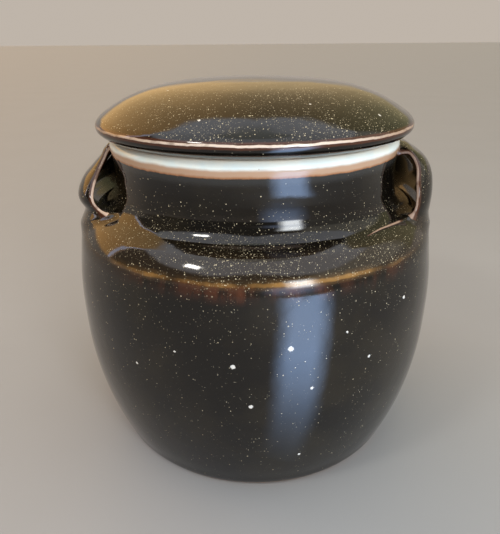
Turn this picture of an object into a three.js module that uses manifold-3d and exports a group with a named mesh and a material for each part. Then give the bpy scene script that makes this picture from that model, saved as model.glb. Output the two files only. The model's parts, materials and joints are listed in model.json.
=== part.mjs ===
// Lidded storage jar with two strap lugs, thrown in stoneware. Sizes are in millimetres.
// +Z is up, the front faces -Y, and the lugs stand on the +X and -X sides.
// The origin is the centre of the foot, on the surface that the jar stands on.
import * as THREE from 'three';
import { ParametricGeometry } from 'three/addons/geometries/ParametricGeometry.js';
import { mergeVertices } from 'three/addons/utils/BufferGeometryUtils.js';
import Module from 'manifold-3d';

const wasm = await Module();
wasm.setup();

// Driving dimensions
const footRadius = 100;
const footRecess = 4;
const bellyRadius = 120.6;
const shoulderRadius = 112.5;
const shoulderHeight = 153;
const neckRadius = 91.5;
const mouthRadius = 80;
const seatHeight = 204.8;
const wall = 7;
const floorHeight = 12;
const lidRadius = 100;
const lidTop = 238.2;
const lidWall = 8;
const flangeRadius = 77.5;
const flangeWall = 5.5;
const flangeBottom = 193;
const lugThickness = 6;
const clearance = 0.3;

// Fineness of the facets
const turnSteps = 48;
const lugSteps = 15;
const lugRingSteps = 20;

const at = (radius, height) => new THREE.Vector2(radius, height);
const smooth = (points, steps) => new THREE.SplineCurve(points).getPoints(steps);

// Turns an outline of radius and height about the upright axis.
function turned(outline) {
  return new THREE.LatheGeometry(outline, turnSteps).rotateX(Math.PI / 2);
}

// Joins a mesh's shared vertices, so that it can be cut.
function toSolid(geometry) {
  const bare = geometry.clone();
  bare.deleteAttribute('normal');
  bare.deleteAttribute('uv');
  const merged = mergeVertices(bare);
  const corners = merged.index.array;
  const faces = [];
  for (let i = 0; i < corners.length; i += 3) {
    const [a, b, c] = corners.subarray(i, i + 3);
    if (a !== b && b !== c && c !== a) faces.push(a, b, c);
  }
  return new wasm.Manifold(new wasm.Mesh({
    numProp: 3,
    vertProperties: merged.attributes.position.array,
    triVerts: new Uint32Array(faces),
  }));
}

function toGeometry(solid) {
  const mesh = solid.getMesh();
  const geometry = new THREE.BufferGeometry();
  geometry.setAttribute('position', new THREE.BufferAttribute(mesh.vertProperties, mesh.numProp));
  geometry.setIndex(new THREE.BufferAttribute(mesh.triVerts, 1));
  geometry.computeVertexNormals();
  return geometry;
}

// Moves each point of an outline outwards by a distance, square to the outline.
function grown(outline, distance) {
  return outline.map((point, i) => {
    const before = outline[Math.max(i - 1, 0)];
    const after = outline[Math.min(i + 1, outline.length - 1)];
    const along = after.clone().sub(before).normalize();
    return at(point.x + along.y * distance, point.y - along.x * distance);
  });
}

// Jar body

const outerWall = smooth([
  at(footRadius + 1.7, 1.5),
  at(107, 15),
  at(115.5, 45),
  at(120, 75),
  at(bellyRadius, 105),
  at(119.5, 127),
  at(117, 142),
  at(shoulderRadius, shoulderHeight),
  at(105, 159.5),
  at(97, 164.5),
  at(93, 172.5),
  at(neckRadius, 183),
  at(neckRadius + 0.3, 191),
  at(neckRadius + 1.3, 198.5),
  at(neckRadius - 1.2, seatHeight - 1),
], 28);

const innerWall = smooth([
  at(mouthRadius, seatHeight - 2),
  at(mouthRadius + 1, 197),
  at(neckRadius - wall - 0.8, 187),
  at(neckRadius - wall, 179),
  at(86.5, 170),
  at(91.5, 161.5),
  at(shoulderRadius - 13, 154),
  at(shoulderRadius - 6, 147.5),
  at(110, 139),
  at(112.5, 125),
  at(bellyRadius - wall, 105),
  at(bellyRadius - wall - 1, 75),
  at(108, 45),
  at(99, 25),
  at(86, 15),
  at(68, floorHeight),
], 22);

function jarBody() {
  return turned([
    at(0, footRecess),
    at(82, footRecess),
    at(86, 0),
    at(footRadius, 0),
    ...outerWall,
    at(neckRadius - 4, seatHeight),
    at(mouthRadius + 2, seatHeight),
    ...innerWall,
    at(0, floorHeight),
  ]);
}

// The space that the body and its clearance take up, with the hollow filled in.
function jarSpace() {
  return turned([at(0, 0), ...grown(outerWall, clearance), at(0, seatHeight)]);
}

// Lid

const lidSeat = seatHeight + clearance;
const flangeLand = lidSeat + 7;

function lid() {
  const hollow = smooth([
    at(0, lidTop - lidWall),
    at(30, 229),
    at(52, 224),
    at(66, 216.5),
    at(flangeRadius - flangeWall - 2, flangeLand),
  ], 8);
  const edge = [
    at(flangeRadius + 1.5, flangeLand),
    at(mouthRadius, lidSeat + 1.5),
    at(mouthRadius + 1.5, lidSeat),
    at(neckRadius - 2, lidSeat),
    at(96, 207),
    at(lidRadius - 0.8, 210),
    at(lidRadius, 211.6),
  ];
  const dome = smooth([
    at(lidRadius, 214.2),
    at(97, 217.5),
    at(91, 222),
    at(78.5, 228.5),
    at(60, 234),
    at(35, 237),
    at(0, lidTop),
  ], 14);
  return turned([...hollow, ...edge, ...dome]);
}

// The collar that keeps the lid on the rim. It is luted to a flat land under the dome.
function lidFlange() {
  const inside = flangeRadius - flangeWall;
  return turned([
    at(inside + 1.5, flangeBottom),
    at(flangeRadius - 3, flangeBottom),
    at(flangeRadius - 1.3, flangeBottom + 1.6),
    at(flangeRadius, flangeLand - clearance),
    at(inside, flangeLand - clearance),
    at(inside, flangeBottom + 1.6),
    at(inside + 1.5, flangeBottom),
  ]);
}

// Lugs

// A lug is a strap that leaves the neck under the rim, bends down and spreads on to the shoulder.
// middle is its centre line as radius and height. edge is the line of its side as radius, height and
// degrees round the jar from the middle. Points of one number lie across the strap from each other.
function lugStrap(middle, edge) {
  const middleLine = new THREE.SplineCurve(middle);
  const edgeLine = new THREE.CatmullRomCurve3(edge, false, 'catmullrom');
  const rounded = (value) => Math.sign(value) * Math.abs(value) ** 0.6;

  const surface = (u, v, target) => {
    const ring = Math.round(v * lugSteps);
    const open = ring > 0 && ring < lugSteps ? 1 : 0;
    const along = THREE.MathUtils.clamp((ring - 1) / (lugSteps - 2), 0, 1);
    const across = open * rounded(Math.cos(2 * Math.PI * u));
    const through = open * rounded(Math.sin(2 * Math.PI * u));
    const spread = across ** 4;

    const centre = middleLine.getPoint(along);
    const side = edgeLine.getPoint(along);
    const centreWay = middleLine.getTangent(along);
    const sideWay = edgeLine.getTangent(along);
    const way = centreWay.lerp(at(sideWay.x, sideWay.y), spread).normalize();

    const depth = through * lugThickness / 2;
    const radius = THREE.MathUtils.lerp(centre.x, side.x, spread) - way.y * depth;
    const height = THREE.MathUtils.lerp(centre.y, side.y, spread) + way.x * depth;
    const angle = across * THREE.MathUtils.degToRad(side.z);
    target.set(radius * Math.cos(angle), radius * Math.sin(angle), height);
  };
  const strap = new ParametricGeometry(surface, lugRingSteps, lugSteps);
  return toSolid(strap);
}

function rightLug() {
  const middle = [
    at(86, 196),
    at(95, 197),
    at(101, 194),
    at(108, 189),
    at(112, 182),
    at(113.5, 172),
    at(113, 161),
    at(112, 151),
    at(107, 140),
  ];
  const edge = [
    new THREE.Vector3(86, 193, 13),
    new THREE.Vector3(93.5, 194.5, 14.5),
    new THREE.Vector3(99.5, 195, 16),
    new THREE.Vector3(104.5, 188.5, 19),
    new THREE.Vector3(106, 180, 22),
    new THREE.Vector3(107.5, 171, 24),
    new THREE.Vector3(107.5, 165, 26),
    new THREE.Vector3(103.5, 158, 28.5),
    new THREE.Vector3(95, 153, 30),
  ];
  return toGeometry(lugStrap(middle, edge).subtract(toSolid(jarSpace())));
}

function leftLug() {
  const middle = [
    at(86, 197),
    at(94, 196),
    at(97.5, 191),
    at(104.5, 184),
    at(110, 178),
    at(113.5, 169.5),
    at(110, 161.5),
    at(111.5, 149),
    at(103, 144),
  ];
  const edge = [
    new THREE.Vector3(86, 198.5, 10),
    new THREE.Vector3(93, 198, 11),
    new THREE.Vector3(97.5, 191.5, 14),
    new THREE.Vector3(102, 184.5, 18),
    new THREE.Vector3(106, 177, 21.5),
    new THREE.Vector3(107.5, 171, 24),
    new THREE.Vector3(105.5, 166.5, 25.5),
    new THREE.Vector3(101, 164, 29),
    new THREE.Vector3(93, 160, 33),
  ];
  const lug = lugStrap(middle, edge).rotate([0, 0, 180]);
  return toGeometry(lug.subtract(toSolid(jarSpace())));
}

// Materials

const darkGlaze = { color: 0x1e1a17, roughness: 0.12, metalness: 0 };
const brownGlaze = { color: 0x3a281b, roughness: 0.16, metalness: 0 };
const bareClay = { color: 0x9a7458, roughness: 0.85, metalness: 0 };

function piece(name, geometry, finish) {
  const mesh = new THREE.Mesh(geometry, new THREE.MeshStandardMaterial(finish));
  mesh.name = name;
  return mesh;
}

const jar = new THREE.Group();
jar.add(
  piece('jar_body', jarBody(), darkGlaze),
  piece('left_lug', leftLug(), brownGlaze),
  piece('right_lug', rightLug(), brownGlaze),
);

const cover = new THREE.Group();
cover.add(
  piece('lid', lid(), darkGlaze),
  piece('lid_flange', lidFlange(), bareClay),
);

const group = new THREE.Group();
group.add(jar, cover);

export default group;
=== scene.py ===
import json
import math

import bpy
from mathutils import Matrix, Vector, noise
from mathutils.bvhtree import BVHTree

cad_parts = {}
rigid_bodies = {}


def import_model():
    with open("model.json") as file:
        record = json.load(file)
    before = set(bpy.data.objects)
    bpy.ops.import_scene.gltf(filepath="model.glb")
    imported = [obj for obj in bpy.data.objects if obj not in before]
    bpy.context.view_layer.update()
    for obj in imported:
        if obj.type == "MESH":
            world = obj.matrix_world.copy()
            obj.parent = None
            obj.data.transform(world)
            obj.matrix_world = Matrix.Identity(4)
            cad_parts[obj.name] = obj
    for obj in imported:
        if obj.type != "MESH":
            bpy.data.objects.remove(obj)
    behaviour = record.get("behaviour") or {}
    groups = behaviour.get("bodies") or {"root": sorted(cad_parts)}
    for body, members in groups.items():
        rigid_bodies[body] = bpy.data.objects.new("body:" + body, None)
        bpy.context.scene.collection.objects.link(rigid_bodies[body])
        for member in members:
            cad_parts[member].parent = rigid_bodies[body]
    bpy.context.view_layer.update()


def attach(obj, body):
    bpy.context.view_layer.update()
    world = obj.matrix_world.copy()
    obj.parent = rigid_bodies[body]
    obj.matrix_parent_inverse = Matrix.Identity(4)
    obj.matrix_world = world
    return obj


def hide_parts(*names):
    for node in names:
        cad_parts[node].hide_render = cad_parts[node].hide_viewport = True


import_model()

mm = 0.001

# Node helpers


class Nodes:
    # short ways to add shader nodes to a tree

    def __init__(self, tree):
        self.tree = tree

    def add(self, kind, inputs=None, **settings):
        node = self.tree.nodes.new(kind)
        for key, value in settings.items():
            setattr(node, key, value)
        for key, value in (inputs or {}).items():
            self.put(node.inputs[key], value)
        return node

    def put(self, socket, value):
        if isinstance(value, bpy.types.NodeSocket):
            self.tree.links.new(value, socket)
        elif isinstance(value, tuple) and len(value) == 3 and socket.type == "RGBA":
            socket.default_value = (*value, 1)
        else:
            socket.default_value = value

    def math(self, operation, a, b=0.0, clamp=False):
        node = self.add("ShaderNodeMath", {0: a, 1: b}, operation=operation, use_clamp=clamp)
        return node.outputs[0]

    def product(self, *factors):
        result = factors[0]
        for factor in factors[1:]:
            result = self.math("MULTIPLY", result, factor)
        return result

    def along(self, vector, axis):
        # how far a vector reaches along an axis
        node = self.add("ShaderNodeVectorMath", {0: vector, 1: tuple(axis)}, operation="DOT_PRODUCT")
        return node.outputs["Value"]

    def ramp(self, value, start, end):
        # 0 at start and 1 at end, smooth between them
        node = self.add("ShaderNodeMapRange", {0: value, 1: start, 2: end}, interpolation_type="SMOOTHSTEP")
        return node.outputs[0]

    def band(self, value, low, high, softness):
        # 1 between low and high, fading to 0 over softness outside them
        return self.product(self.ramp(value, low - softness, low), self.ramp(value, high + softness, high))

    def mix(self, share, a, b):
        node = self.add("ShaderNodeMix", data_type="RGBA")
        self.put(node.inputs[0], share)
        self.put(node.inputs[6], a)
        self.put(node.inputs[7], b)
        return node.outputs[2]

    def split(self, vector):
        return self.add("ShaderNodeSeparateXYZ", {0: vector}).outputs


class Finish(Nodes):
    # the nodes of one material

    def __init__(self, name):
        self.material = bpy.data.materials.new(name)
        self.material.use_nodes = True
        super().__init__(self.material.node_tree)
        self.shader = self.tree.nodes["Principled BSDF"]
        self.place = self.add("ShaderNodeTexCoord").outputs["Object"]
        self.facing = self.add("ShaderNodeTexCoord").outputs["Normal"]

    def noise(self, scale, detail=3.0, rough=0.5, at=None):
        node = self.add("ShaderNodeTexNoise", {"Vector": at or self.place, "Scale": scale, "Detail": detail,
                                               "Roughness": rough})
        return node.outputs[0]

    def patches(self, scale, start, end, least=0.0):
        # a smooth noise, drawn apart between start and end, that never falls below least
        share = self.ramp(self.noise(scale, 3, 0.6), start, end)
        return self.math("ADD", self.math("MULTIPLY", share, 1 - least), least)

    def ragged(self, value, scale, size):
        # a value with a little noise on it
        shift = self.math("MULTIPLY", self.math("SUBTRACT", self.noise(scale, 3, 0.6), 0.5), size)
        return self.math("ADD", value, shift)

    def scaled(self, x, y, z):
        # the object's coordinates, stretched along each axis
        return self.add("ShaderNodeMapping", {"Vector": self.place, "Scale": (x, y, z)}).outputs[0]

    def radius(self):
        x, y, _ = self.split(self.place)
        square = self.math("ADD", self.math("MULTIPLY", x, x), self.math("MULTIPLY", y, y))
        return self.math("SQRT", square)

    def specks(self, size, share, radius, seedShift):
        # round dots of about radius, in cells of about size, of which only a share hold one
        shift = (seedShift,) * 3
        shifted = self.add("ShaderNodeMapping", {"Vector": self.place, "Location": shift}).outputs[0]
        cells = self.add("ShaderNodeTexVoronoi", {"Vector": shifted, "Scale": 1 / size}, feature="F1")
        picks = self.split(cells.outputs["Color"])
        chosen = self.math("LESS_THAN", picks[0], share)
        reach = self.math("MULTIPLY", self.math("ADD", picks[1], 0.45), radius / size)
        dot = self.ramp(self.math("SUBTRACT", reach, cells.outputs["Distance"]), 0.0, 0.12)
        return self.math("MULTIPLY", chosen, dot), picks[2]

    def finish(self, colour, roughness, height=None, strength=0.3, distance=0.0004):
        self.put(self.shader.inputs["Base Color"], colour)
        self.put(self.shader.inputs["Roughness"], roughness)
        if height is not None:
            bump = self.add("ShaderNodeBump", {"Height": height, "Strength": strength,
                                               "Distance": distance})
            self.put(self.shader.inputs["Normal"], bump.outputs[0])
        return self.material


# Camera and lamps


def aimed(forward, roll=0.0):
    # a turn that looks along forward, with Z up before the roll
    forward = forward.normalized()
    right = forward.cross(Vector((0, 0, 1))).normalized()
    up = right.cross(forward)
    c, s = math.cos(roll), math.sin(roll)
    right, up = c * right + s * up, c * up - s * right
    return Matrix((right, up, -forward)).transposed().to_4x4()


cameraValues = {
    "place": Vector((0.0, -0.3433, 0.2599)),
    "pitch": math.radians(24.01),
    "yaw": math.radians(-0.59),
    "roll": math.radians(-0.47),
    "focalPixels": 511.9,
    "imageWidth": 500.0,
    "imageHeight": 534.0,
    "sensor": 36.0,
}


def makeCamera(v):
    data = bpy.data.cameras.new("camera")
    data.sensor_width = v["sensor"]
    data.lens = v["sensor"] * v["focalPixels"] / v["imageHeight"]
    data.clip_start = 0.01
    camera = bpy.data.objects.new("camera", data)
    bpy.context.scene.collection.objects.link(camera)
    flat = math.cos(v["pitch"])
    forward = Vector((math.sin(v["yaw"]) * flat, math.cos(v["yaw"]) * flat, -math.sin(v["pitch"])))
    camera.matrix_world = Matrix.Translation(v["place"]) @ aimed(forward, v["roll"])
    bpy.context.scene.camera = camera


makeCamera(cameraValues)

lampTarget = Vector((0.0, 0.0, 0.13))
lampValues = {
    # azimuth from the front (right is positive) and elevation in degrees, distance and size in metres,
    # and soft is the share of each half that fades towards the lamp's edge
    "window": {"azimuth": 21, "elevation": 4, "distance": 0.95, "size": (0.74, 0.42), "soft": 0.85,
               "glow": 3.4, "colour": (0.45, 0.63, 1.0)},
    "rightLamp": {"azimuth": 27, "elevation": 18, "distance": 1.3, "size": (0.52, 0.72), "soft": 0.75,
                  "glow": 20, "colour": (0.93, 0.97, 1.0)},
    "leftLamp": {"azimuth": -46, "elevation": 45, "distance": 1.2, "size": (0.22, 0.12), "soft": 0.4,
                 "glow": 48, "colour": (1.0, 0.96, 0.9)},
}

# soft light from low in front, on the right: a fan just above the floor that faces up and widens away
# from the jar
lowLampValues = {"azimuth": 31, "near": 0.11, "aside": -0.046, "size": (0.8, 0.85), "halfWidth": 0.014,
                 "widening": 0.24, "glow": 8.0, "colour": (0.42, 0.62, 1.0)}


def makeLamp(name, v, place, turn):
    data = bpy.data.lights.new(name, "AREA")
    data.shape = "RECTANGLE"
    data.size, data.size_y = v["size"]
    data.energy = v["glow"] * math.pi * data.size * data.size_y
    data.color = v["colour"]
    data.use_nodes = True
    lamp = bpy.data.objects.new(name, data)
    bpy.context.scene.collection.objects.link(lamp)
    lamp.matrix_world = Matrix.Translation(place) @ turn
    lamp.visible_camera = False
    n = Nodes(data.node_tree)
    spot = n.add("ShaderNodeNewGeometry").outputs["Position"]
    return n, n.add("ShaderNodeVectorMath", {0: spot, 1: tuple(place)}, operation="SUBTRACT").outputs[0]


def makeHighLamp(name, v):
    a, e = math.radians(v["azimuth"]), math.radians(v["elevation"])
    away = Vector((math.sin(a) * math.cos(e), -math.cos(a) * math.cos(e), math.sin(e)))
    turn = aimed(-away)
    n, spot = makeLamp(name, v, lampTarget + away * v["distance"], turn)
    fades = []
    for axis, size in zip(turn.col, v["size"]):
        aside = n.math("ABSOLUTE", n.along(spot, axis.to_3d()))
        fades.append(n.ramp(aside, size / 2, size / 2 * (1 - v["soft"])))
    n.put(n.tree.nodes["Emission"].inputs["Strength"], n.product(*fades))


def makeLowLamp(name, v):
    a = math.radians(v["azimuth"])
    away = Vector((math.sin(a), -math.cos(a), 0))
    sideways = Vector((-away.y, away.x, 0))
    length = v["size"][1]
    place = away * (v["near"] + length / 2) + sideways * v["aside"] + Vector((0, 0, 0.003))
    faceUp = Matrix.Rotation(a, 4, "Z") @ Matrix.Rotation(math.pi, 4, "X")
    n, spot = makeLamp(name, v, place, faceUp)
    outward = n.math("ADD", n.along(spot, away), length / 2)
    aside = n.math("ABSOLUTE", n.along(spot, sideways))
    half = n.math("ADD", n.math("MULTIPLY", outward, v["widening"]), v["halfWidth"])
    across = n.ramp(n.math("DIVIDE", aside, half), 1.5, 0.4)
    ends = n.product(n.ramp(outward, -0.01, 0.19), n.ramp(outward, length, length * 0.75))
    n.put(n.tree.nodes["Emission"].inputs["Strength"], n.product(across, ends))


for lampName, lampSetting in lampValues.items():
    makeHighLamp(lampName, lampSetting)
makeLowLamp("lowLamp", lowLampValues)

bpy.context.scene.view_settings.view_transform = "Standard"
print("camera and lamps are in place")

# Finishes

glazeValues = {
    "dark": (0.0042, 0.0031, 0.0020),
    "olive": (0.0115, 0.0082, 0.0040),
    "brown": (0.020, 0.0125, 0.0065),
    "redBrown": (0.070, 0.021, 0.0085),
    "amber": (0.26, 0.13, 0.035),
    "edge": (0.58, 0.41, 0.30),
    "edgeDull": (0.34, 0.22, 0.15),
    # the lid's edge line: a tan with a painted highlight for its middle, and a tan in painted shade for its
    # sides
    "lidEdgeTanWithPaintedLight": (0.70, 0.55, 0.42),
    "lidEdgeTanInPaintedShade": (0.36, 0.22, 0.13),
    "speck": (0.62, 0.52, 0.33),
    "chip": (0.66, 0.60, 0.50),
    "cream": (0.88, 0.88, 0.76),
    "celadon": (0.80, 0.86, 0.78),
    "tan": (0.46, 0.28, 0.165),
    "rust": (0.34, 0.13, 0.045),
    "underRim": (0.030, 0.028, 0.024),
    "clay": (0.33, 0.19, 0.11),
    "clayDeep": (0.26, 0.14, 0.08),
    "ironSpot": (0.06, 0.03, 0.02),
    "floor": (0.312, 0.309, 0.304),
    "floorPale": (0.320, 0.317, 0.312),
}
# single pale flecks on the pot: the pixel of the photograph that shows each one, and its size
seenFlecks = [(291, 349, 1.5), (233, 367, 1.3), (251, 407, 1.2), (312, 388, 0.9), (369, 356, 0.9),
              (404, 297, 1.1), (299, 454, 0.9)]
# more of them on the pot and the lid: degrees from the front, radius, height and size
moreFlecks = [(-21, 120.6, 108, 0.7), (24, 120.2, 118, 0.7), (-34, 120.4, 92, 0.8)]
lidFlecks = [(-18, 88, 223.6, 0.8), (22, 76, 229.2, 0.7), (48, 90, 222.3, 0.8), (-52, 62, 233.5, 0.7)]


def surfaceOf(obj):
    corners = [vertex.co for vertex in obj.data.vertices]
    return BVHTree.FromPolygons(corners, [face.vertices for face in obj.data.polygons])


def seenOn(obj, flecks):
    # the places on a piece that pixels of the photograph show, with the flecks' sizes
    tree = surfaceOf(obj)
    v = cameraValues
    turn = bpy.context.scene.camera.matrix_world.to_3x3()
    found = []
    for across, down, size in flecks:
        way = Vector((across - v["imageWidth"] / 2, v["imageHeight"] / 2 - down, -v["focalPixels"]))
        found.append((tree.ray_cast(v["place"], turn @ way)[0], size))
    return found


def stated(flecks):
    # places from degrees, radius and height, with the flecks' sizes
    found = []
    for degrees, radius, height, size in flecks:
        angle = math.radians(degrees)
        found.append((Vector((radius * math.sin(angle), -radius * math.cos(angle), height)) * mm, size))
    return found


def ironGlaze(n):
    # the glaze of the pot and its lugs: black to olive, and thinner and browner on the shoulder
    v = glazeValues
    level = n.ragged(n.split(n.place)[2], 14, 0.0035)
    colour = n.mix(n.patches(22, 0.40, 0.68), v["dark"], v["olive"])
    return n.mix(n.math("MULTIPLY", n.band(level, 0.149, 0.158, 0.004), 0.8), colour, v["brown"]), level


def speckled(n, base, upShare, lowShare, extra=0.0):
    # fine pale specks, thick on faces that look up and thin on the walls
    upward = n.ramp(n.split(n.facing)[2], 0.0, 0.6)
    share = n.math("ADD", n.product(upward, n.patches(30, 0.35, 0.65, 0.3), upShare), lowShare)
    share = n.math("ADD", share, extra)
    result = base
    # cell, dot and strength of each kind of speck
    for cell, dot, weak, strong, often in ((0.8, 0.20, 0.05, 0.35, 1.2), (1.05, 0.28, 0.12, 0.85, 1.1),
                                           (2.4, 0.42, 0.25, 0.75, 0.6)):
        found, tone = n.specks(cell * mm, n.math("MULTIPLY", share, often), dot * mm, cell * 0.3)
        amount = n.math("ADD", n.math("MULTIPLY", n.math("POWER", tone, 1.6), strong), weak)
        result = n.mix(n.math("MULTIPLY", found, amount), result, glazeValues["speck"])
    return result


def flecked(n, base, flecks):
    colour = base
    for centre, size in flecks:
        gap = n.add("ShaderNodeVectorMath", {0: n.place, 1: tuple(centre)}, operation="DISTANCE")
        share = n.ramp(n.ragged(gap.outputs["Value"], 700, 0.0014), size * 1.2 * mm, size * 0.7 * mm)
        colour = n.mix(share, colour, glazeValues["chip"])
    return colour


def glazeSurface(n, colour, roughness):
    height = n.math("ADD", n.noise(70, 2, 0.4), n.math("MULTIPLY", n.noise(900, 2, 0.5), 0.04))
    n.shader.inputs["IOR"].default_value = 1.48
    return n.finish(colour, roughness, height, 0.3, 0.0006)


def bodyGlaze(pot):
    v = glazeValues
    n = Finish("jar body glaze")
    x, y, height = n.split(n.place)
    radius = n.radius()
    colour, level = ironGlaze(n)
    # under the ridge it has run down in red-brown streaks, less so near the lugs
    front = n.ramp(n.math("ABSOLUTE", x), 0.100, 0.045)
    streak = n.ramp(n.noise(1.0, 4, 0.6, n.scaled(90, 90, 30)), 0.34, 0.62)
    fall = n.product(n.ramp(level, 0.1365, 0.1450), n.ramp(level, 0.1490, 0.1473))
    run = n.product(fall, streak, n.patches(14, 0.35, 0.6, 0.3), front)
    colour = n.mix(run, colour, v["redBrown"])
    # and on the ridge it breaks to a thin amber line
    crest = n.ragged(level, 220, 0.0016)
    glow = n.math("MULTIPLY", n.band(crest, 0.1472, 0.1492, 0.0025), 0.22)
    ridge = n.math("MAXIMUM", n.band(crest, 0.1477, 0.1485, 0.0012), glow)
    colour = n.mix(n.product(ridge, n.patches(40, 0.32, 0.62, 0.1), front, 0.95), colour, v["amber"])

    # the specks lie thickest on the middle of the shoulder
    thick = n.product(n.band(height, 0.1495, 0.1560, 0.0025), n.band(x, -0.022, 0.010, 0.018),
                      n.ramp(y, 0, -0.02))
    colour = speckled(n, colour, 0.80, 0.06, n.math("MULTIPLY", thick, 0.4))
    colour = flecked(n, colour, seenOn(pot, seenFlecks) + stated(moreFlecks))

    # the rim's pale band, which ends in a thin rusty line and a few drips
    rimLevel = n.ragged(height, 60, 0.0016)
    drips = n.ragged(rimLevel, 260, 0.0010)
    outside = n.ramp(radius, 0.0885, 0.0895)
    atLip = n.math("MAXIMUM", outside, n.ramp(height, 0.2, 0.202))
    greyed = n.product(n.ramp(drips, 0.1900, 0.1950), outside, 0.9)
    colour = n.mix(greyed, colour, v["underRim"])
    rim = n.mix(n.patches(45, 0.4, 0.6), v["cream"], v["celadon"])
    rim = n.mix(n.ramp(rimLevel, 0.2014, 0.1992), rim, v["tan"])
    rim = n.mix(n.math("MULTIPLY", n.ramp(drips, 0.1976, 0.1960), 0.9), rim, v["rust"])
    iron, _ = n.specks(0.0055, 0.12, 0.00045, 0.13)
    rim = n.mix(n.math("MULTIPLY", iron, 0.7), rim, v["rust"])
    colour = n.mix(n.math("MULTIPLY", n.ramp(drips, 0.1955, 0.1963), atLip), colour, rim)

    # the foot is bare clay
    foot = n.ramp(n.ragged(height, 60, 0.0012), 0.0026, 0.0016)
    colour = n.mix(foot, colour, v["clay"])
    return glazeSurface(n, colour, n.math("ADD", n.math("MULTIPLY", foot, 0.7), 0.07))


def lidGlaze():
    v = glazeValues
    n = Finish("lid glaze")
    x, _, height = n.split(n.place)
    radius = n.radius()
    colour = n.mix(n.patches(18, 0.4, 0.7), v["dark"], v["olive"])
    colour = speckled(n, colour, 0.85, 0.05)
    colour = flecked(n, colour, stated(lidFlecks))
    # the glaze breaks to bare tan in a thin line round the edge, with red-brown glaze beside it. The line's
    # tone is partly painted light: a lighter tan with a painted highlight in the middle at front and back,
    # and a darker tan as painted shade towards both sides
    edgeLevel = n.ragged(height, 80, 0.0012)
    outer = n.ramp(radius, 0.0985, 0.0992)
    beside = n.product(outer, n.band(edgeLevel, 0.2122, 0.2150, 0.0010), 0.8)
    colour = n.mix(beside, colour, v["redBrown"])
    # painted light and shade: the edge line keeps its lit tone with a painted highlight in the middle and
    # takes a tone in painted shade towards both sides
    sides = n.ramp(n.math("ABSOLUTE", x), 0.025, 0.085)
    tone = n.mix(n.math("MULTIPLY", sides, 0.9), v["lidEdgeTanWithPaintedLight"], v["lidEdgeTanInPaintedShade"])
    wobble = n.math("SUBTRACT", n.noise(55, 3, 0.6), 0.5)
    thin = n.math("SUBTRACT", edgeLevel, n.math("MULTIPLY", wobble, 0.0012))
    edge = n.product(outer, n.band(thin, 0.2132, 0.2140, 0.0004), n.patches(120, 0.25, 0.50, 0.45))
    colour = n.mix(edge, colour, tone)
    # the seat and the hollow inside it are bare clay
    under = n.product(n.ramp(height, 0.2062, 0.2056), n.ramp(radius, 0.0925, 0.0915))
    inner = n.math("MAXIMUM", under, n.ramp(radius, 0.0802, 0.0798))
    down = n.ramp(n.split(n.facing)[2], 0.0, -0.05)
    bare = n.math("MULTIPLY", inner, n.math("MAXIMUM", down, under))
    colour = n.mix(bare, colour, v["clay"])
    return glazeSurface(n, colour, n.math("ADD", n.math("MULTIPLY", bare, 0.7), 0.07))


def lugGlaze():
    v = glazeValues
    n = Finish("lug glaze")
    colour, _ = ironGlaze(n)
    colour = speckled(n, colour, 0.66, 0.10)
    # along the strap's edges the glaze is thin, and breaks to a tan line
    edge = n.add("ShaderNodeAttribute", attribute_name="edge").outputs["Fac"]
    colour = n.mix(n.math("MULTIPLY", n.ramp(edge, 0.05, 0.45), 0.85), colour, v["redBrown"])
    line = n.product(n.ramp(n.ragged(edge, 300, 0.25), 0.50, 0.72), n.patches(90, 0.30, 0.50, 0.25))
    # the right lug's line is the duller one
    tone = n.mix(n.ramp(n.split(n.place)[0], -0.02, 0.02), v["edge"], v["edgeDull"])
    colour = n.mix(line, colour, tone)
    return glazeSurface(n, colour, 0.08)


def bareClay():
    v = glazeValues
    n = Finish("bare clay")
    colour = n.mix(n.patches(30, 0.35, 0.65), v["clay"], v["clayDeep"])
    iron, _ = n.specks(0.004, 0.3, 0.0004, 0.5)
    colour = n.mix(n.math("MULTIPLY", iron, 0.7), colour, v["ironSpot"])
    return n.finish(colour, 0.85, n.noise(420, 4, 0.65), 0.5, 0.0003)


def floorFinish():
    v = glazeValues
    n = Finish("floor")
    return n.finish(n.mix(n.patches(6, 0.3, 0.7), v["floor"], v["floorPale"]), 0.6)


# the pot's own glaze is made later, once its wall is there
finishes = {
    "lid": lidGlaze(),
    "lug": lugGlaze(),
    "clay": bareClay(),
    "floor": floorFinish(),
}
print("finishes are made")

# Modelling helpers


def onCurve(points, share):
    # a smooth curve through points, with its direction
    place = share * (len(points) - 1)
    i = min(int(place), len(points) - 2)
    t = place - i
    p = [Vector(points[max(0, min(len(points) - 1, i + k))]) for k in (-1, 0, 1, 2)]
    a = 2 * p[1]
    b = p[2] - p[0]
    c = 2 * p[0] - 5 * p[1] + 4 * p[2] - p[3]
    d = 3 * p[1] - p[0] - 3 * p[2] + p[3]
    return (a + b * t + c * t * t + d * t ** 3) / 2, (b + 2 * c * t + 3 * d * t * t) / 2


def curved(points, steps):
    # places along a smooth curve through a few points
    return [tuple(onCurve(points, i / steps)[0]) for i in range(steps + 1)]


def bent(start, lean, bends):
    # follows a wall up from start by arcs: each bend is an arc's length, the lean from upright in degrees
    # that it ends with and the number of places it gives
    radius, height = start
    places = []
    for length, nextLean, count in bends:
        for i in range(count):
            angle = math.radians(lean + (nextLean - lean) * (i + 0.5) / count)
            radius -= math.sin(angle) * length / count
            height += math.cos(angle) * length / count
            places.append((radius, height))
        lean = nextLean
    return places


def startPiece(name):
    obj = bpy.context.object
    obj.name = name
    obj.data.name = name
    return obj


def enterEdit():
    bpy.ops.object.mode_set(mode="EDIT")


def leaveEdit():
    bpy.ops.object.mode_set(mode="OBJECT")


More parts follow.
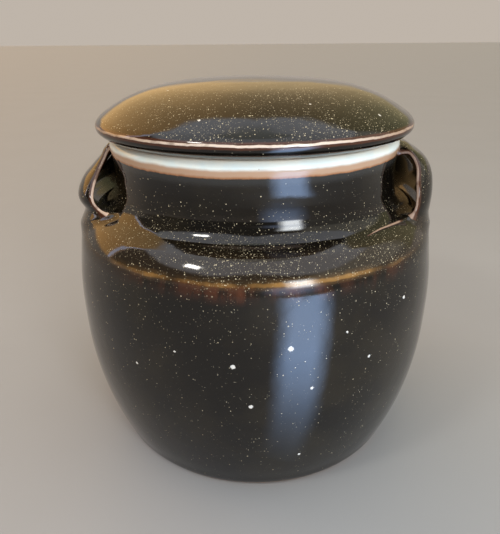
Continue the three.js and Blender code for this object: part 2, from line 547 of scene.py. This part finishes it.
def turnedPiece(name, rings, sides, closed):
    # raises a turned wall from a circle, ring by ring, and closes it on the axis or on itself
    bpy.ops.object.select_all(action="DESELECT")
    radius, height = rings[0]
    bpy.ops.mesh.primitive_circle_add(vertices=sides, radius=radius, location=(0, 0, height))
    obj = startPiece(name)
    bpy.ops.object.transform_apply(location=True, rotation=True, scale=True)
    enterEdit()
    bpy.ops.mesh.select_all(action="SELECT")
    if not closed:
        bpy.ops.mesh.extrude_region_move()
        bpy.ops.mesh.merge(type="CENTER")
        bpy.ops.mesh.select_all(action="SELECT")
        bpy.ops.mesh.region_to_loop()
    for nextRadius, nextHeight in rings[1:]:
        bpy.ops.mesh.extrude_region_move(TRANSFORM_OT_translate={"value": (0, 0, nextHeight - height)})
        share = nextRadius / radius
        bpy.ops.transform.resize(value=(share, share, 1))
        radius, height = nextRadius, nextHeight
    if not closed:
        bpy.ops.mesh.extrude_region_move()
        bpy.ops.mesh.merge(type="CENTER")
    bpy.ops.mesh.select_all(action="SELECT")
    bpy.ops.mesh.remove_doubles(threshold=1e-6)
    bpy.ops.mesh.normals_make_consistent(inside=False)
    leaveEdit()
    return obj


def throughRings(rings):
    # moves the rings of a smoothed wall so that its surface passes through the stated places
    wanted = [Vector(ring) for ring in rings]
    held = list(wanted)
    for _ in range(4):
        last = len(held) - 1
        passed = [(held[max(i - 1, 0)] + 4 * held[i] + held[min(i + 1, last)]) / 6 for i in range(last + 1)]
        held = [now + (want - made) for now, want, made in zip(held, wanted, passed)]
    return [(ring.x, ring.y) for ring in held]


def refine(obj, levels):
    smooth = obj.modifiers.new("smooth", "SUBSURF")
    smooth.levels = levels
    smooth.render_levels = levels
    bpy.context.view_layer.objects.active = obj
    bpy.ops.object.modifier_apply(modifier=smooth.name)
    bpy.ops.object.select_all(action="DESELECT")
    obj.select_set(True)
    bpy.ops.object.shade_smooth()


def place(obj, body, slot, finish, *nodes):
    obj.data.materials.clear()
    obj.data.materials.append(finish)
    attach(obj, body)
    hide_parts(*nodes)


# Jar body

bodyValues = {
    "sides": 192,
    "levels": 1,
    # foot, rim and inside are places as radius and height. belly and shoulder are the arcs between foot and
    # rim, each with its length, the lean that it ends with and its number of rings. lean is where they start
    # from: how far the wall leans from upright, in degrees, with inward as positive
    "foot": [(60, 4), (78, 4), (82.5, 3.8), (85, 1.5), (86, 0.2), (89, 0), (97.5, 0), (99.5, 0.2), (101, 1.3),
             (103, 4.5), (104.5, 8.5)],
    "lean": -23,
    "belly": [(7, -20, 1), (22, -14, 3), (25, -8, 4), (22, -2, 3), (22, 0, 3), (16, 4.5, 3), (8, 7.5, 2)],
    "shoulder": [(13, 8, 5), (4.5, 15, 3), (5, 31, 4), (8, 43, 6), (2, 50, 2), (1.5, 62, 2), (8.5, 63, 6),
                 (1, 52, 1), (2, 43, 2), (6.5, 20, 5), (4, 12, 3)],
    "rim": [(92, 178.5), (91.5, 184), (91.5, 189), (92, 194), (92.5, 197), (92.8, 199.5), (92.3, 202),
            (90.5, 204.2), (87.5, 204.8), (82.5, 204.8), (80.5, 203.8), (79.8, 201)],
    "inside": [(80.5, 195), (84.5, 179), (91.5, 161.5), (106.5, 147.5), (112.5, 125), (112.6, 75), (99, 25),
               (68, 12), (25, 12)],
    "insideSteps": 16,
    "throwing": {"depth": 0.06, "pitch": 5.2, "low": 166, "high": 193, "outside": 88},
    # nothing is moved nearer the axis or lower than this
    "still": {"radius": 30, "height": 2.5},
    "waviness": 0.3,
}


def throwMarks(obj, v):
    # faint rings that the potter's fingers left on the neck, and a slightly uneven wall
    t = v["throwing"]
    for vertex in obj.data.vertices:
        x, y, z = vertex.co
        radius = math.hypot(x, y)
        if radius < v["still"]["radius"] * mm or z < v["still"]["height"] * mm:
            continue
        height = z / mm
        angle = math.atan2(y, x)
        drift = 0.5 * math.sin(angle + 0.4) + 0.3 * math.sin(2 * angle + 1.1)
        rings = math.sin(2 * math.pi * (height / t["pitch"] + drift)) + math.sin(height * 0.61 + drift * 5)
        onNeck = max(0.0, min(1.0, (height - t["low"]) / 6, (t["high"] - height) / 5))
        outer = 1.0 if radius > t["outside"] * mm else 0.0
        fade = max(0.0, min(1.0, (height - 3) / 12, (192 - height) / 10))
        uneven = noise.noise(Vector((x, y, z * 0.6)) * 26) * v["waviness"] * fade
        shift = (rings * t["depth"] * onNeck * outer + uneven) * mm
        vertex.co.x += shift * x / radius
        vertex.co.y += shift * y / radius


def makeBody(v):
    outline = v["foot"] + bent(v["foot"][-1], v["lean"], v["belly"] + v["shoulder"])
    outline += v["rim"] + curved(v["inside"], v["insideSteps"])
    rings = [(r * mm, z * mm) for r, z in throughRings(outline)]
    obj = turnedPiece("jar_body_glazed", rings, v["sides"], closed=False)
    refine(obj, v["levels"])
    throwMarks(obj, v)
    place(obj, "jar", "dark_glaze", bodyGlaze(obj), "jar_body")
    return obj


body = makeBody(bodyValues)
print("jar body:", len(body.data.polygons), "faces")

# Lid

lidValues = {
    "sides": 96,
    "levels": 2,
    # places from the hollow's middle out to the seat and round the edge, and then up the dome
    "under": [(12, 230), (30, 229), (50, 224.5), (61, 219), (67, 214.2), (70, 212.2), (73, 211.9),
              (77.8, 211.8), (79.4, 210.6), (79.8, 206.6), (80.8, 205.2), (83, 205.1), (88.5, 205.1),
              (90.5, 205.3)],
    "edge": [(94.5, 206.5), (97.5, 208.4), (99.4, 210.2), (100, 212), (100, 213.2), (99.5, 214.6),
             (98.5, 216)],
    "dome": [(97, 217.6), (91, 221.7), (78.5, 228.3), (60, 234), (35, 237), (8, 238.1)],
    "domeSteps": 10,
    "waviness": 0.25,
    "wavyAbove": 214.2,
}


def makeLid(v):
    outline = v["under"] + v["edge"] + curved(v["dome"], v["domeSteps"])
    rings = [(r * mm, z * mm) for r, z in throughRings(outline)]
    obj = turnedPiece("lid_glazed", rings, v["sides"], closed=False)
    refine(obj, v["levels"])
    for vertex in obj.data.vertices:
        x, y, z = vertex.co
        if z > v["wavyAbove"] * mm:
            vertex.co.z += noise.noise(Vector((x, y, 0.5)) * 24) * v["waviness"] * mm
    place(obj, "cover", "dark_glaze", finishes["lid"], "lid")
    return obj


lid = makeLid(lidValues)
print("lid:", len(lid.data.polygons), "faces")

# Flange under the lid

flangeValues = {
    "sides": 96,
    "levels": 1,
    "rings": [(72, 211.7), (72, 203), (72, 195), (72.6, 193.4), (74, 193), (75.4, 193.5), (76.3, 195),
              (76.9, 203), (77.5, 211.7)],
}


def makeFlange(v):
    rings = [(r * mm, z * mm) for r, z in v["rings"]]
    rings = rings + rings[:1]
    obj = turnedPiece("lid_flange_clay", rings, v["sides"], closed=True)
    refine(obj, v["levels"])
    place(obj, "cover", "bare_clay", finishes["clay"], "lid_flange")
    return obj


flange = makeFlange(flangeValues)
print("flange:", len(flange.data.polygons), "faces")

# Lugs

lugValues = {
    # middle is the strap's centre line as radius and height, edge its side with degrees round the jar
    "right": {
        "turn": 0.0,
        "thickness": 6.0,
        "middle": [(86, 196), (95, 197), (101, 194), (108, 189), (112, 182), (113.5, 172), (113, 161),
                   (112, 151), (107, 140)],
        "edge": [(86, 193, 13), (93.5, 194.5, 14.5), (99.5, 195, 16), (104.5, 188.5, 19), (106, 180, 22),
                 (107.5, 171, 24), (107.5, 165, 26), (103.5, 158, 28.5), (95, 153, 30)],
        "tail": [(104.5, 160.2, 27.5), (102, 161.3, 36.5), (101, 162, 46), (102, 161.3, 53.5)],
        "tailFacing": (0.50, 0.0, 0.87),
    },
    "left": {
        "turn": math.pi,
        "thickness": 6.0,
        "middle": [(86, 197), (94, 196), (97.5, 191), (104.5, 184), (110, 178), (113.5, 169.5), (110, 161.5),
                   (111.5, 149), (103, 144)],
        "edge": [(86, 198.5, 10), (93, 198, 11), (97.5, 191.5, 14), (102, 184.5, 18), (106, 177, 21.5),
                 (107.5, 171, 24), (105.5, 166.5, 25.5), (101, 164, 29), (93, 160, 33)],
    },
}
lugMesh = {"around": 48, "along": 60, "levels": 1, "tailAround": 16, "tailAlong": 28, "tailWidth": 1.5,
           "tailLift": 1.4}
# how far from the joint the clay swells, below and above the height where it changes over, how far off the
# other surface is looked for, and the stretch of the wall that is treated
luting = {"low": 6.5, "high": 3.5, "changes": 172, "over": 10, "search": 12,
          "radius": 89, "bottom": 130, "top": 204, "aside": 60}


def rounded(value):
    return math.copysign(abs(value) ** 0.6, value)


def cylindrical(radius, height, angle):
    return Vector((radius * math.cos(angle), radius * math.sin(angle), height)) * mm


def roundStart(name, around, along):
    # a ball, with each vertex's place along it and the cosine and sine of its place round it
    bpy.ops.object.select_all(action="DESELECT")
    bpy.ops.mesh.primitive_uv_sphere_add(segments=around, ring_count=along, radius=1)
    obj = startPiece(name)
    places = []
    for vertex in obj.data.vertices:
        x, y, z = vertex.co
        ring = math.hypot(x, y)
        share = math.acos(max(-1.0, min(1.0, z))) / math.pi
        places.append((share, x / ring, y / ring) if ring > 1e-5 else (share, 0.0, 0.0))
    return obj, places


def markEdge(obj, marks):
    obj.data.attributes.new("edge", "FLOAT", "POINT").data.foreach_set("value", marks)


def turnOut(obj):
    bpy.context.view_layer.objects.active = obj
    enterEdit()
    bpy.ops.mesh.select_all(action="SELECT")
    bpy.ops.mesh.normals_make_consistent(inside=False)
    leaveEdit()


def makeStrap(side, v, m):
    obj, places = roundStart(side + "_lug_glazed", m["around"], m["along"])
    marks = []
    for vertex, (along, cosine, sine) in zip(obj.data.vertices, places):
        across, through = rounded(cosine), rounded(sine)
        spread = across ** 4
        centre, centreWay = onCurve(v["middle"], along)
        rim, rimWay = onCurve(v["edge"], along)
        way = centreWay.lerp(Vector(rimWay[:2]), spread).normalized()
        depth = through * v["thickness"] / 2
        radius = centre[0] + (rim[0] - centre[0]) * spread - way[1] * depth
        height = centre[1] + (rim[1] - centre[1]) * spread + way[0] * depth
        vertex.co = cylindrical(radius, height, across * math.radians(rim[2]) + v["turn"])
        marks.append(max(0.0, 1 - abs(through) / 0.6) if abs(across) > 0.9 else 0.0)
    markEdge(obj, marks)
    turnOut(obj)
    refine(obj, m["levels"])
    return obj


def makeTail(side, v, m):
    # the strap's end, smeared along the shoulder to a point
    obj, places = roundStart(side + "_lug_tail", m["tailAround"], m["tailAlong"])
    outward = Vector(v["tailFacing"])
    marks = []
    for vertex, (along, cosine, sine) in zip(obj.data.vertices, places):
        spot, way = onCurve(v["tail"], along)
        angle = math.radians(-spot[2]) + v["turn"]
        turn = Matrix.Rotation(angle, 3, "Z")
        up = turn @ outward
        run = (turn @ Vector((way[0], -spot[0] * math.radians(way[2]), way[1]))).normalized()
        acrossWay = up.cross(run).normalized()
        # it tapers at both ends, and its edge line begins a little way along
        taper = min(1.0, along / 0.12) ** 0.5 * (1 - along) ** 0.55
        offset = acrossWay * (cosine * m["tailWidth"] * taper) + up * (sine * m["tailLift"] * taper)
        vertex.co = cylindrical(spot[0], spot[1], angle) + offset * mm
        begun = max(0.0, min(1.0, (along - 0.18) / 0.12))
        marks.append(max(0.0, (sine - 0.5) * 2) * begun)
    markEdge(obj, marks)
    turnOut(obj)
    refine(obj, m["levels"])
    return obj


def soften(obj, chosen):
    # evens out the chosen vertices
    bpy.ops.object.select_all(action="DESELECT")
    bpy.context.view_layer.objects.active = obj
    enterEdit()
    bpy.ops.mesh.select_all(action="DESELECT")
    leaveEdit()
    for vertex in obj.data.vertices:
        vertex.select = vertex.index in chosen
    enterEdit()
    bpy.ops.mesh.vertices_smooth(factor=0.5, repeat=6)
    leaveEdit()


def lute(wall, straps, reach):
    # smears the clay where a strap meets the wall: both surfaces swell towards each other near the joint
    trees = {obj.name: surfaceOf(obj) for obj in [wall, *straps]}

    def swell(vertex, tree):
        near, normal, _, gap = tree.find_nearest(vertex.co, reach["search"] * mm)
        if near is None:
            return None
        low = max(0.0, min(1.0, (reach["changes"] - vertex.co.z / mm) / reach["over"]))
        k = (reach["high"] + (reach["low"] - reach["high"]) * low) * mm
        gap = math.copysign(gap, (vertex.co - near).dot(normal))
        if gap >= k:
            return None
        grow = (k - gap) ** 2 / (2 * k) if gap > 0 else max(k / 2 + gap, 0.0)
        return vertex.co + vertex.normal * grow

    moves = []
    for strap in straps:
        for vertex in strap.data.vertices:
            moves.append((vertex, swell(vertex, trees[wall.name])))
        for vertex in wall.data.vertices:
            x, y, z = vertex.co / mm
            outside = math.hypot(x, y) > reach["radius"] and abs(x) > reach["aside"]
            if outside and reach["bottom"] < z < reach["top"]:
                moves.append((vertex, swell(vertex, trees[strap.name])))
    for vertex, target in moves:
        if target is not None:
            vertex.co = target
    moved = [vertex for vertex, target in moves if target is not None]
    for obj in [wall, *straps]:
        soften(obj, {vertex.index for vertex in moved if vertex.id_data == obj.data})


def joinTo(obj, *others):
    bpy.ops.object.select_all(action="DESELECT")
    for other in others:
        other.select_set(True)
    obj.select_set(True)
    bpy.context.view_layer.objects.active = obj
    bpy.ops.object.join()


straps = {side: makeStrap(side, setting, lugMesh) for side, setting in lugValues.items()}
lute(body, list(straps.values()), luting)
for side, lug in straps.items():
    if "tail" in lugValues[side]:
        joinTo(lug, makeTail(side, lugValues[side], lugMesh))
    place(lug, "jar", "brown_glaze", finishes["lug"], side + "_lug")
    print(side, "lug:", len(lug.data.polygons), "faces")

# Floor and light from all round


def makeFloor():
    bpy.ops.object.select_all(action="DESELECT")
    bpy.ops.mesh.primitive_plane_add(size=60, location=(0, 0, 0))
    obj = startPiece("floor")
    obj.data.materials.append(finishes["floor"])


worldValues = {
    # the wall's tone by how far it lies to the right, from the lit left end to the dim right one
    "wall": [(-0.85, (2.0, 1.1, 0.4)), (-0.3, (1.4, 0.9, 0.4)), (0.1, (0.85, 0.62, 0.33)),
             (0.65, (0.45, 0.42, 0.23))],
    "rightHigh": (1.0, 0.95, 0.8),
    "rightLow": (0.42, 0.40, 0.36),
    "front": (0.13, 0.125, 0.115),
    "strip": (2.4, 2.5, 3.2),
    "cornice": (1.55, 1.6, 1.7),
    "overhead": (0.95, 1.0, 0.95),
    "horizon": (0.52, 0.46, 0.40),
}


def makeWorld(v):
    # a warm wall behind and on the left, a paler side on the right, a dim room in front with a bright strip
    # at its left end, a bright edge to the ceiling and a plain pale horizon
    world = bpy.data.worlds.new("studio")
    bpy.context.scene.world = world
    world.use_nodes = True
    n = Nodes(world.node_tree)
    direction = n.add("ShaderNodeTexCoord").outputs["Generated"]
    x, _, z = n.split(direction)
    room = v["wall"][0][1]
    for (start, _), (end, tone) in zip(v["wall"], v["wall"][1:]):
        room = n.mix(n.ramp(x, start, end), room, tone)
    right = n.mix(n.ramp(z, 0.22, 0.36), v["rightLow"], v["rightHigh"])
    room = n.mix(n.ramp(n.along(direction, (-0.342, 0.94, 0)), 0.1, -0.1), room, right)
    leftEnd = n.along(direction, (0.174, 0.985, 0))
    rightEnd = n.along(direction, (0.766, 0.643, 0))
    room = n.mix(n.product(n.band(leftEnd, 0.02, 0.05, 0.015), n.ramp(x, -0.1, -0.3)), room, v["strip"])
    room = n.mix(n.product(n.ramp(leftEnd, 0.02, -0.02), n.ramp(rightEnd, 0.08, -0.08)), room, v["front"])
    aside = n.math("MULTIPLY", n.math("ABSOLUTE", x), 0.26)
    ceiling = n.math("ADD", n.along(direction, (0, -0.172, 1)), aside)
    room = n.mix(n.ramp(ceiling, 0.84, 0.885), room, v["cornice"])
    room = n.mix(n.ramp(z, 0.95, 0.98), room, v["overhead"])
    room = n.mix(n.ramp(z, 0.12, 0.20), v["horizon"], room)
    # the camera itself sees only the plain tone
    seen = n.add("ShaderNodeLightPath").outputs["Is Camera Ray"]
    n.put(n.tree.nodes["Background"].inputs["Color"], n.mix(seen, room, v["horizon"]))


makeFloor()
makeWorld(worldValues)
print("floor and world are made")
